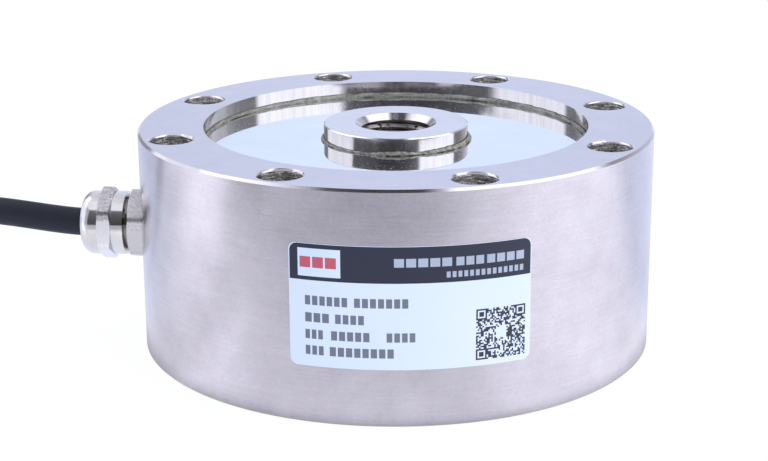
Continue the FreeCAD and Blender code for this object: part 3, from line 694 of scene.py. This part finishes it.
def body_finish(centre, normal):
    """Which finish a face of the body has, from its place and the way it faces."""
    x, y, z = (value / MM for value in centre)
    radius = math.hypot(x, y)
    depth = depth_from_end(z)
    upward = abs(normal.z)
    level = upward > LEVEL_FACE
    if radius < THREAD_MOUTH_RADIUS and not level:
        return "polished" if on_mouth_cone(radius, z, CONE_FACE_GAP) else "threaded"
    if not level and near_bolt_hole(x, y):
        return "polished" if depth < BOLT_MOUTH_DEPTH else "drilled"
    if level and depth < DISC_DEPTH / 2:
        return "faced" if radius > HUB_RADIUS else "faced_hub"
    if radius > RIM_RADIUS - WALL_GAP and upward < UPRIGHT_WALL:
        return "satin"
    if not level and depth < EDGE_BREAK and upward > SLOPING_EDGE:
        return "edge" if radius > HUB_RADIUS else "hub_edge"
    return "polished" if depth < DISC_DEPTH + RECESS_GAP else "milled"


def turned_lean(face, corners):
    """How far the normal of a turned wall or cone leans outward and upward at a face."""
    profile = [(corner.xy.length, corner.z) for corner in corners]
    (inner_radius, inner_height), (outer_radius, outer_height) = min(profile), max(profile)
    if outer_radius - inner_radius < CORNER_GAP * MM:
        lean = Vector((1.0, 0.0))
    else:
        lean = Vector((inner_height - outer_height, outer_radius - inner_radius)).normalized()
    facing = Vector((face.normal.xy.dot(face.center.xy.normalized()), face.normal.z))
    return lean if lean.dot(facing) > 0.0 else -lean


def on_turned_edge(radius):
    return min(abs(radius - known) for known in TURNED_RADII) < CORNER_GAP


def turned_normals(mesh):
    """Gives the level faces and the turned walls their true normals, and leaves the rest as they are."""
    normals = [Vector()] * len(mesh.loops)
    for face in mesh.polygons:
        corners = [mesh.vertices[index].co for index in face.vertices]
        places = [(corner.xy.length / MM, corner.z / MM) for corner in corners]
        on_turning = all(on_turned_edge(radius) for radius, _ in places)
        on_turning = on_turning or all(on_mouth_cone(*spot, CONE_CORNER_GAP) for spot in places)
        if abs(face.normal.z) > LEVEL_FACE:
            true_normals = [Vector((0.0, 0.0, math.copysign(1.0, face.normal.z)))] * len(corners)
        elif on_turning:
            lean = turned_lean(face, corners)
            true_normals = [(*(corner.xy.normalized() * lean.x), lean.y) for corner in corners]
        else:
            continue
        for loop, normal in zip(face.loop_indices, true_normals):
            normals[loop] = normal
    mesh.normals_split_custom_set(normals)


def merge_corners(mesh):
    work = bmesh.new()
    work.from_mesh(mesh)
    bmesh.ops.remove_doubles(work, verts=work.verts, dist=MERGE_GAP * MM)
    work.to_mesh(mesh)
    work.free()


def cut_thread(body):
    """Cuts the thread into the hub's plain hole."""
    cutter = thread_cutter()
    cut = body.modifiers.new("thread", "BOOLEAN")
    cut.operation = "DIFFERENCE"
    cut.solver = "EXACT"
    cut.object = cutter
    bpy.context.view_layer.update()
    result = bpy.data.meshes.new_from_object(body.evaluated_get(bpy.context.evaluated_depsgraph_get()))
    body.modifiers.clear()
    body.data = result
    bpy.data.objects.remove(cutter)


def make_body():
    """The frame's body with a real thread in its hub and a finish for each of its surfaces."""
    body = link(bpy.data.objects.new("turned_body", NODES["spoke_body"].data.copy()))
    merge_corners(body.data)
    cut_thread(body)
    surfaces = {
        "satin": finishes["satin_steel"],
        **{face: turned_steel(*finish) for face, finish in TURNED_FINISHES.items()},
        "polished": polished_steel(),
        "drilled": drilled_steel(),
        "threaded": threaded_steel(),
        "milled": milled_steel(),
    }
    mesh = body.data
    mesh.materials.clear()
    for finish in surfaces.values():
        mesh.materials.append(finish)
    order = list(surfaces)
    for face in mesh.polygons:
        face.material_index = order.index(body_finish(face.center, face.normal))
    shade_smooth(mesh)
    turned_normals(mesh)
    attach(body, "root")
    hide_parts("spoke_body")


# Weld beads

def layered_noise(spot, layers):
    """A sum of noises at a spot, each with its own strength and scale."""
    return sum(strength * noise.noise(spot * scale) for strength, scale in layers)


def bead_leg(angle, legs, seat):
    """The bead's leg at an angle, with a little drift and ripple."""
    side = math.degrees(math.remainder(angle - math.radians(CAMERA_SIDE), math.tau))
    drift = layered_noise(Vector(polar(DRIFT_RADIUS, angle, seat)), LEG_DRIFT)
    return np.interp(side, *zip(*legs)) * (1.0 + drift)


def painted_bead_light(spot, seat, turn, lump, lap):
    """How light a bead's skin is, as painted light and shade: lighter on its crown, lumps and laps, and
    dark at both toes as painted shade, apart from pale patches on the disc's side.
    """
    shade = min(1.0, TOE_PAINTED_SHADE_FADE * math.sin(2.0 * turn))
    if turn < 0.25 * math.pi:
        patches = layered_noise(Vector((spot.x, spot.y, seat)), TOE_PATCHES)
        shade = max(shade, min(DISC_TOE_LIMIT, DISC_TOE_SHADE + patches))
    return shade * (SKIN_SHADE + LUMP_PAINTED_LIGHT * lump + LAP_PAINTED_LIGHT * lap)


def weld_bead(name, node, radius, outward, legs, stretch):
    """A bead in the corner between a disc and its wall, with lumps drawn out along it."""
    low, high = (corner.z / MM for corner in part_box(node))
    up = 1.0 if high > BODY_HEIGHT / 2 else -1.0
    seat = low if up > 0 else high
    steps = int(math.tau * radius / BEAD_STEP)
    points = []
    # painted light and shade of the bead's skin, one value for each point
    painted_shades = []
    for step in range(steps):
        angle = math.tau * step / steps
        leg = bead_leg(angle, legs, seat)
        for part in range(BEAD_ARC_STEPS + 1):
            turn = 0.5 * math.pi * part / BEAD_ARC_STEPS
            spot = Vector(polar(radius / stretch, angle, seat + turn))
            lump = layered_noise(spot, BEAD_LUMPS)
            reach = leg * (1.0 + lump * math.sin(2.0 * turn))
            out = radius + outward * reach * math.cos(turn)
            points.append(polar(out, angle, seat + up * reach * math.sin(turn)))
            along = math.tau * radius * angle / LAP_LENGTH
            lap = math.sin(along + LAP_SLANT * turn + layered_noise(spot, LAP_WANDER))
            # lighter on the crown, lumps and laps and darker at the toes, as painted light and shade
            painted_shades.append(painted_bead_light(spot, seat, turn, lump, lap / stretch))
        # the corner at the seat is painted fully dark, as painted shade
        points.append(polar(radius, angle, seat))
        painted_shades.append(0.0)
    ring = BEAD_ARC_STEPS + 2
    faces = []
    for step in range(steps):
        here, ahead = step * ring, (step + 1) % steps * ring
        for part in range(ring):
            following = (part + 1) % ring
            faces.append((here + part, here + following, ahead + following, ahead + part))
    if outward * up > 0:
        faces = [face[::-1] for face in faces]
    bead = mesh_object(name, points, faces)
    # the painted light and shade go on the mesh as its shade attribute, which the weld material reads
    bead.data.attributes.new("shade", "FLOAT", "POINT").data.foreach_set("value", painted_shades)
    shade_smooth(bead.data, sharp_angle=60.0)
    bead.data.materials.append(finishes["weld_steel"])
    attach(bead, "root")
    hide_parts(node)


def make_welds():
    """Both beads of each disc: round the hub, and inside the rim."""
    shapes = {
        "hub": (HUB_RADIUS, 1.0, HUB_BEAD_LEGS, HUB_BEAD_STRETCH),
        "rim": (RECESS_RADIUS, -1.0, RIM_BEAD_LEGS, RIM_BEAD_STRETCH),
    }
    for side in ("top", "bottom"):
        for edge, shape in shapes.items():
            weld_bead(f"{side}_{edge}_bead", f"{side}_{edge}_weld", *shape)


# Cable

def coil_point(turns):
    """A control point of the coil, so many turns after the cable comes in."""
    layer = min(int(turns / COIL_TURNS), COIL_LAYERS)
    done = turns - layer * COIL_TURNS
    pitch = 2.0 * CABLE_RADIUS
    inner = COIL_OUTER_TURN - pitch * COIL_TURNS
    if turns >= COIL_WOUND:
        radius = COIL_OUTER_TURN + (CABLE_END_RADIUS - COIL_OUTER_TURN) * min(done / COIL_RISE, 1.0)
    elif layer % 2 == 0:
        radius = COIL_OUTER_TURN - pitch * done
    else:
        radius = inner + pitch * done
    rise = min(done / COIL_RISE, 1.0) if layer else 1.0
    height = CABLE_RADIUS + pitch * (layer - 1.0 + rise)
    angle = math.radians(COIL_ENTRY_ANGLE + 360.0 * turns)
    # a curve of this kind runs inside its control points by this much
    radius /= 0.75 + 0.25 * math.cos(math.tau / COIL_STEPS)
    return polar(radius, angle, height, COIL_MIDDLE)


def make_cable():
    """The cable as one line: free stretch, coil and the end that lies on the coil."""
    entry_to_end = (CABLE_END_ANGLE - COIL_ENTRY_ANGLE) / 360.0
    total = entry_to_end + math.floor(COIL_WOUND - entry_to_end) + 1.0
    count = round(total * COIL_STEPS)
    points = CABLE_ROUTE + [coil_point(total * step / count) for step in range(1, count + 1)]
    curve = bpy.data.curves.new("cable_line", "CURVE")
    curve.dimensions = "3D"
    curve.resolution_u = 4
    curve.bevel_depth = CABLE_RADIUS * MM
    curve.bevel_resolution = 7
    curve.use_fill_caps = True
    spline = curve.splines.new("NURBS")
    spline.points.add(len(points) - 1)
    for control, point in zip(spline.points, points):
        control.co = (*(value * MM for value in point), 1.0)
    spline.order_u = 3
    spline.use_endpoint_u = True
    curve.materials.append(finishes["cable_jacket"])
    cable = link(bpy.data.objects.new("cable_line", curve))
    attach(cable, "root")
    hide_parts("cable", "cable_coil", "cable_end")
    on_cable = [NODES["coil_tie"], NODES["core_tips"]]
    on_cable += [NODES[f"outer_core_{colour}"] for colour in ("red", "green", "white", "black")]
    # as in the photograph, the metal mirrors a bare studio
    for piece in [cable, *on_cable]:
        piece.visible_glossy = False


# Label print

class PrintSheet:
    """Collects thin fields of ink on the label, placed across from its middle and up from the floor."""

    def __init__(self):
        self.points = []
        self.faces = []

    def on_label(self, across, height, lift):
        angle = math.radians(LABEL_MIDDLE_ANGLE) + across / LABEL_RADIUS
        return polar(LABEL_RADIUS + lift, angle, height)

    def field(self, left, right, low, high, corner=0.0, lift=0.0):
        """A rectangle of ink, with rounded upper corners where they are asked for."""
        places = {left, right}
        for step in range(CORNER_STEPS + 1):
            reach = corner * (1.0 - math.cos(0.5 * math.pi * step / CORNER_STEPS))
            places.update((left + reach, right - reach))
        count = math.ceil((right - left) / FIELD_STEP)
        places.update(left + (right - left) * step / count for step in range(count))
        columns = sorted(places)
        start = len(self.points)
        for across in columns:
            away = max(corner - min(across - left, right - across), 0.0)
            inset = corner - math.sqrt(max(corner**2 - away**2, 0.0))
            for height in (low, high - inset):
                for layer in (lift, lift + PRINT_THICKNESS):
                    self.points.append(self.on_label(across, height, layer))
        last = start + 4 * (len(columns) - 1)
        for here in range(start, last, 4):
            ahead = here + 4
            self.faces += [
                (here + 1, ahead + 1, ahead + 3, here + 3),
                (here, here + 2, ahead + 2, ahead),
                (here, ahead, ahead + 1, here + 1),
                (here + 2, here + 3, ahead + 3, ahead + 2),
            ]
        self.faces.append((start, start + 1, start + 3, start + 2))
        self.faces.append((last, last + 2, last + 3, last + 1))

    def row(self, middle, group_ends, block, lift=0.0):
        """A row of short plain blocks, in groups between the given ends."""
        pitch, height = block
        low, high = middle - height / 2, middle + height / 2
        for left, right in zip(group_ends[::2], group_ends[1::2]):
            count = round((right - left + BLOCK_GAP) / pitch)
            step = (right - left + BLOCK_GAP) / count
            for number in range(count):
                start = left + number * step
                self.field(start, start + step - BLOCK_GAP, low, high, lift=lift)

    def square_mark(self, left, low, size):
        """Small tiles at random round a bare middle, with a framed square in three of the corners."""
        dice = random.Random(MARK_SEED)
        tile = size / MARK_TILES
        last = MARK_TILES - MARK_CORNER
        for row in range(MARK_TILES):
            for column in range(MARK_TILES):
                filled = dice.random() < MARK_SHARE
                if max(abs(row - MARK_TILES // 2), abs(column - MARK_TILES // 2)) < MARK_CORNER / 2:
                    filled = False
                in_corner = (row < MARK_CORNER or row >= last) and (column < MARK_CORNER or column >= last)
                if in_corner and not (row < MARK_CORNER and column >= last):
                    from_start = (row % last, column % last)
                    from_end = [MARK_CORNER - 1 - steps for steps in from_start]
                    filled = min(*from_start, *from_end) != 1
                if filled:
                    edge = left + column * tile
                    foot = low + row * tile
                    self.field(edge, edge + tile, foot, foot + tile)

    def finish(self, name, material):
        sheet = mesh_object(name, self.points, self.faces)
        sheet.data.materials.append(material)
        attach(sheet, "root")


def make_label_print():
    """A dark heading with a plain box, rows of plain blocks and a square mark."""
    side = LABEL_WIDTH / 2 - HEADING_SIDE_INSET
    top = LABEL_MIDDLE_HEIGHT + LABEL_HEIGHT / 2 - HEADING_TOP_INSET
    sheets = {name: PrintSheet() for name in LABEL_INKS}
    sheets["heading"].field(-side, side, HEADING_FOOT, top, corner=LABEL_CORNER)
    sheets["box"].field(*BOX_SIDES, *BOX_HEIGHTS, lift=PRINT_THICKNESS)
    sheets["red_blocks"].row(*RED_ROW, RED_BLOCKS, lift=2.0 * PRINT_THICKNESS)
    for row, block in zip(HEADING_ROWS, HEADING_BLOCKS):
        sheets["heading_rows"].row(*row, block, lift=PRINT_THICKNESS)
    for row in LABEL_ROWS:
        sheets["rows"].row(*row, ROW_BLOCKS)
    sheets["mark"].square_mark(MARK_LEFT, MARK_FOOT, MARK_SIZE)
    for name, sheet in sheets.items():
        sheet.finish(f"label_{name}", ink(*LABEL_INKS[name]))


# Studio

def studio_azimuth(tree, vector):
    """The angle round the load axis from the camera's side, as 0 to 1 with that side in the middle."""
    turn = math.radians(CAMERA_AZIMUTH)
    ahead = (math.sin(turn), -math.cos(turn), 0.0)
    right = (math.cos(turn), math.sin(turn), 0.0)
    sideways = vector_calc(tree, "DOT_PRODUCT", vector, right)["Value"]
    forward = vector_calc(tree, "DOT_PRODUCT", vector, ahead)["Value"]
    return fade(tree, calc(tree, "ARCTAN2", sideways, forward), (-math.pi, math.pi))


def azimuth_ramp(tree, round_axis, stops):
    """A colour by the angle round the load axis, in degrees to the right of the camera's side."""
    return ramp(tree, round_axis, [((angle + 180.0) / 360.0, colour) for angle, colour in stops])


# What metal mirrors of the studio, as colours or greys by the angle round the load axis: the room from
# the table upwards, the table near the part and far from it, and the tent's wall
PALE_BLUE = (0.81, 0.93, 1.18)
ROOM = [
    (-180, PALE_BLUE), (-168, (0.74, 0.84, 1.05)), (-160, 0.55), (-150, 0.36), (-141, 0.32), (-137, 1.10),
    (-72, 1.10), (-62, 0.50), (30, 0.50), (38, 1.12), (103, 1.12), (107, 0.28), (124, 0.34), (131, 0.42),
    (140, 0.58), (150, (0.60, 0.66, 0.79)), (165, (0.74, 0.84, 1.06)), (180, PALE_BLUE),
]
HIGH_ROOM = [
    (-180, 0.80), (-147, 0.70), (-143, 1.40), (-100, 1.40), (-89, 1.15), (-80, 0.82), (-70, 0.50),
    (28, 0.50), (44, 0.60), (52, 1.40), (117, 1.40), (125, 0.35), (131, 0.42), (150, 0.70), (180, 0.80),
]
OVERHEAD = [
    (-180, 0.80), (-80, 0.82), (-70, 0.50), (-60, 0.10), (-20, 0.05), (28, 0.06), (44, 0.60), (52, 1.40),
    (117, 1.40), (180, 0.80),
]
NEAR_TABLE = [
    (-180, 0.95), (-110, (0.84, 0.90, 1.10)), (-78, 0.88), (-63, 0.94), (-52, 1.18), (-35, 0.88),
    (0, 0.9), (22, 0.92), (32, 1.15), (60, 1.25), (80, 1.1), (110, (0.82, 0.88, 1.08)), (180, 0.95),
]
FAR_TABLE = [
    (-180, (0.78, 0.84, 1.05)), (-125, (0.70, 0.75, 0.97)), (-116, (0.72, 0.76, 0.95)), (-111.5, 0.30),
    (-107, (0.92, 0.95, 1.12)), (-97, 0.94), (-85, 1.45), (-74, 1.42), (-64, 0.80), (-52, 0.68),
    (-31, 0.55), (-6, 0.47), (17, 0.66), (34, 0.93), (47, 1.12), (61, 1.26), (76, 1.30), (92, 1.38),
    (106, (0.82, 0.86, 1.04)), (125, (0.85, 0.93, 1.20)), (150, 0.95), (180, (0.78, 0.84, 1.05)),
]
TENT = [
    (-180, 0.10), (-173, 0.16), (-168, 0.42), (-160, 0.32), (-150, 0.20), (-139, 0.22), (-135, 1.10),
    (-72.5, 1.10), (-66, 0.14), (-40, 0.10), (-20, 0.06), (10, 0.07), (28, 0.13), (34, 0.20), (39, 1.32),
    (101, 1.32), (105, 0.21), (120, 0.26), (131, 0.36), (140, 0.54), (160, 0.68), (168, 0.42),
    (173, 0.16), (180, 0.10),
]
# The card's colours by the share of its height, and the colours of the flap and the room's plain parts
CARD = [(0.0, 0.055), (0.5, 0.09), (0.8, 0.12), (0.91, 0.17), (0.925, 0.3), (0.938, 1.0)]
FLAP = grey(0.95)
BELOW_TABLE = grey(1.0)
CEILING = grey(0.82)
# The light that reaches dull surfaces from the room, and from the table
SOFT_LIGHT = [
    (-180, (0.82, 0.85, 0.88)), (-90, (0.40, 0.47, 0.60)), (0, (0.75, 0.80, 0.88)),
    (90, (1.82, 1.82, 1.70)), (180, (0.82, 0.85, 0.88)),
]
TABLE_BOUNCE = (0.97, 1.08, 1.32)
# The table's glow and its dull grey, as the camera sees it, and what is left of its light under the body
TABLE_GLOW = 0.95
TABLE_MATT = 0.08
UNDER_BODY = 0.25
# Where parts of the room give way to each other, by the upward part of a direction
TABLE_EDGE = (-0.03, 0.03)
HIGH_ROOM_FROM = (0.50, 0.62)
OVERHEAD_FROM = (0.895, 0.91)
CEILING_FROM = (0.972, 0.984)


def make_world():
    """A white room with two large soft boxes and a dimmer side behind the camera, as metal shows it."""
    world = bpy.data.worlds.new("studio")
    bpy.context.scene.world = world
    world.use_nodes = True
    tree = world.node_tree
    direction = add_node(tree, "TexCoord").outputs["Generated"]
    height = add_node(tree, "SeparateXYZ", {0: direction}).outputs["Z"]
    round_axis = studio_azimuth(tree, direction)
    mirrored = BELOW_TABLE
    for span, stops in ((TABLE_EDGE, ROOM), (HIGH_ROOM_FROM, HIGH_ROOM), (OVERHEAD_FROM, OVERHEAD)):
        upper = azimuth_ramp(tree, round_axis, stops)
        mirrored = mix_colours(tree, fade(tree, height, span), mirrored, upper)
    mirrored = mix_colours(tree, fade(tree, height, CEILING_FROM), mirrored, CEILING)
    rays = add_node(tree, "LightPath").outputs
    soft = azimuth_ramp(tree, round_axis, SOFT_LIGHT)
    unseen = mix_colours(tree, rays["Is Glossy Ray"], soft, mirrored)
    seen = mix_colours(tree, rays["Is Camera Ray"], unseen, (1.0, 1.0, 1.0))
    feed(tree.nodes["Background"].inputs["Color"], seen)


def glow_material(name):
    """A material without a surface of its own; returns the material and its tree."""
    material, tree, surface = new_material(name)
    tree.nodes.remove(surface)
    return material, tree


def show(tree, shader):
    feed(tree.nodes["Material Output"].inputs["Surface"], shader.outputs[0])


def mirrored_wall(name, middle, profile, sides, material):
    """A piece of a round wall between two angles, which only mirrors show."""
    steps = math.ceil((sides[1] - sides[0]) / WALL_STEP)
    points = []
    for radius, height in profile:
        for step in range(steps + 1):
            side = sides[0] + (sides[1] - sides[0]) * step / steps
            points.append(polar(radius, math.radians(side + CAMERA_SIDE), height, middle))
    ring = steps + 1
    faces = []
    for row in range(len(profile) - 1):
        for at in range(row * ring, row * ring + steps):
            faces.append((at, at + 1, ring + at + 1, ring + at))
    wall = mesh_object(name, points, faces)
    material.cycles.emission_sampling = "NONE"
    wall.data.materials.append(material)
    wall.visible_camera = wall.visible_diffuse = False
    wall.visible_transmission = wall.visible_shadow = False


def make_tent():
    """The white tent's wall: the recess's steel and the disc under it show it at its real distance."""
    material, tree = glow_material("tent_cloth")
    # only a ray that has met two mirrors shows it: a wall of the recess and the disc
    mirrored_twice = calc(tree, "GREATER_THAN", add_node(tree, "LightPath").outputs["Ray Depth"], 1.5)
    colour = azimuth_ramp(tree, studio_azimuth(tree, place(tree)), TENT)
    glow = add_node(tree, "Emission", {"Color": colour})
    clear = add_node(tree, "BsdfTransparent")
    show(tree, add_node(tree, "MixShader", {0: mirrored_twice, 1: clear.outputs[0], 2: glow.outputs[0]}))
    mirrored_wall("tent", TENT_MIDDLE, TENT_PROFILE, TENT_SIDES, material)


def make_card():
    """A dark card beside the gland, which gives the bright plating its dark stripe."""
    material, tree = glow_material("card_board")
    height = add_node(tree, "SeparateXYZ", {0: place(tree)}).outputs["Z"]
    (_, foot), (_, top) = CARD_PROFILE[0], CARD_PROFILE[-1]
    show(tree, add_node(tree, "Emission", {"Color": ramp(tree, fade(tree, height, (foot, top), MM), CARD)}))
    mirrored_wall("card", CARD_MIDDLE, CARD_PROFILE, CARD_SIDES, material)


def make_flap():
    """A pale flap at the card's upper left, which keeps the nut's shoulder light."""
    material, tree = glow_material("flap_board")
    show(tree, add_node(tree, "Emission", {"Color": (*FLAP, 1.0)}))
    mirrored_wall("flap", CARD_MIDDLE, FLAP_PROFILE, FLAP_SIDES, material)


def make_floor():
    """A white table with a faint shadow, bright in the metal's reflections and dim under the body."""
    corners = [(-1, -1), (1, -1), (1, 1), (-1, 1)]
    points = [(x * TABLE_REACH, y * TABLE_REACH, -TABLE_GAP) for x, y in corners]
    floor = mesh_object("floor", points, [(0, 1, 2, 3)])
    material, tree = glow_material("white_table")
    rays = add_node(tree, "LightPath").outputs
    glow = add_node(tree, "Emission", {"Color": (1.0, 1.0, 1.0, 1.0), "Strength": TABLE_GLOW})
    matt = add_node(tree, "BsdfDiffuse", {"Color": (TABLE_MATT, TABLE_MATT, TABLE_MATT, 1.0)})
    white = add_node(tree, "AddShader", {0: glow.outputs[0], 1: matt.outputs[0]})
    round_axis = studio_azimuth(tree, place(tree))
    near, far = (azimuth_ramp(tree, round_axis, stops) for stops in (NEAR_TABLE, FAR_TABLE))
    away = vector_calc(tree, "LENGTH", place(tree))["Value"]
    table = mix_colours(tree, fade(tree, away, FAR_TABLE_FROM, MM), near, far)
    in_the_open = spread(tree, away, BODY_SHADE[0] * MM, BODY_SHADE[1] * MM, UNDER_BODY, 1.0)
    lit_table = add_node(tree, "VectorMath", {0: table, "Scale": in_the_open}, operation="SCALE").outputs[0]
    mirrored = mix_colours(tree, rays["Is Glossy Ray"], TABLE_BOUNCE, lit_table)
    bounce = add_node(tree, "Emission", {"Color": mirrored})
    inputs = {0: rays["Is Camera Ray"], 1: bounce.outputs[0], 2: white.outputs[0]}
    show(tree, add_node(tree, "MixShader", inputs))
    floor.data.materials.append(material)


def make_camera():
    """The photograph's viewing angle, lens and framing."""
    turn, lift = math.radians(CAMERA_AZIMUTH), math.radians(CAMERA_ELEVATION)
    back = Vector((math.sin(turn) * math.cos(lift), -math.cos(turn) * math.cos(lift), math.sin(lift)))
    aim = Vector((0.0, 0.0, CAMERA_AIM_HEIGHT * MM))
    data = bpy.data.cameras.new("camera")
    data.sensor_width = SENSOR_WIDTH
    data.lens = FOCAL_PIXELS * SENSOR_WIDTH / FRAME_WIDTH
    data.clip_start = CLIP_START * MM
    camera = link(bpy.data.objects.new("camera", data))
    yaw = math.atan((AIM_PIXEL[0] - FRAME_WIDTH / 2) / FOCAL_PIXELS)
    pitch = math.atan((AIM_PIXEL[1] - FRAME_HEIGHT / 2) / FOCAL_PIXELS)
    turned = (-back).to_track_quat("-Z", "Y").to_matrix().to_4x4()
    for angle, axis in ((yaw, "Y"), (pitch, "X"), (CAMERA_ROLL, "Z")):
        turned = turned @ Matrix.Rotation(angle, 4, axis)
    camera.matrix_world = Matrix.Translation(aim + back * CAMERA_DISTANCE * MM) @ turned
    bpy.context.scene.camera = camera


make_camera()
make_world()
make_tent()
make_card()
make_flap()
make_floor()
dress_nodes()
make_body()
make_welds()
make_cable()
make_label_print()
bpy.context.scene.view_settings.view_transform = "Standard"
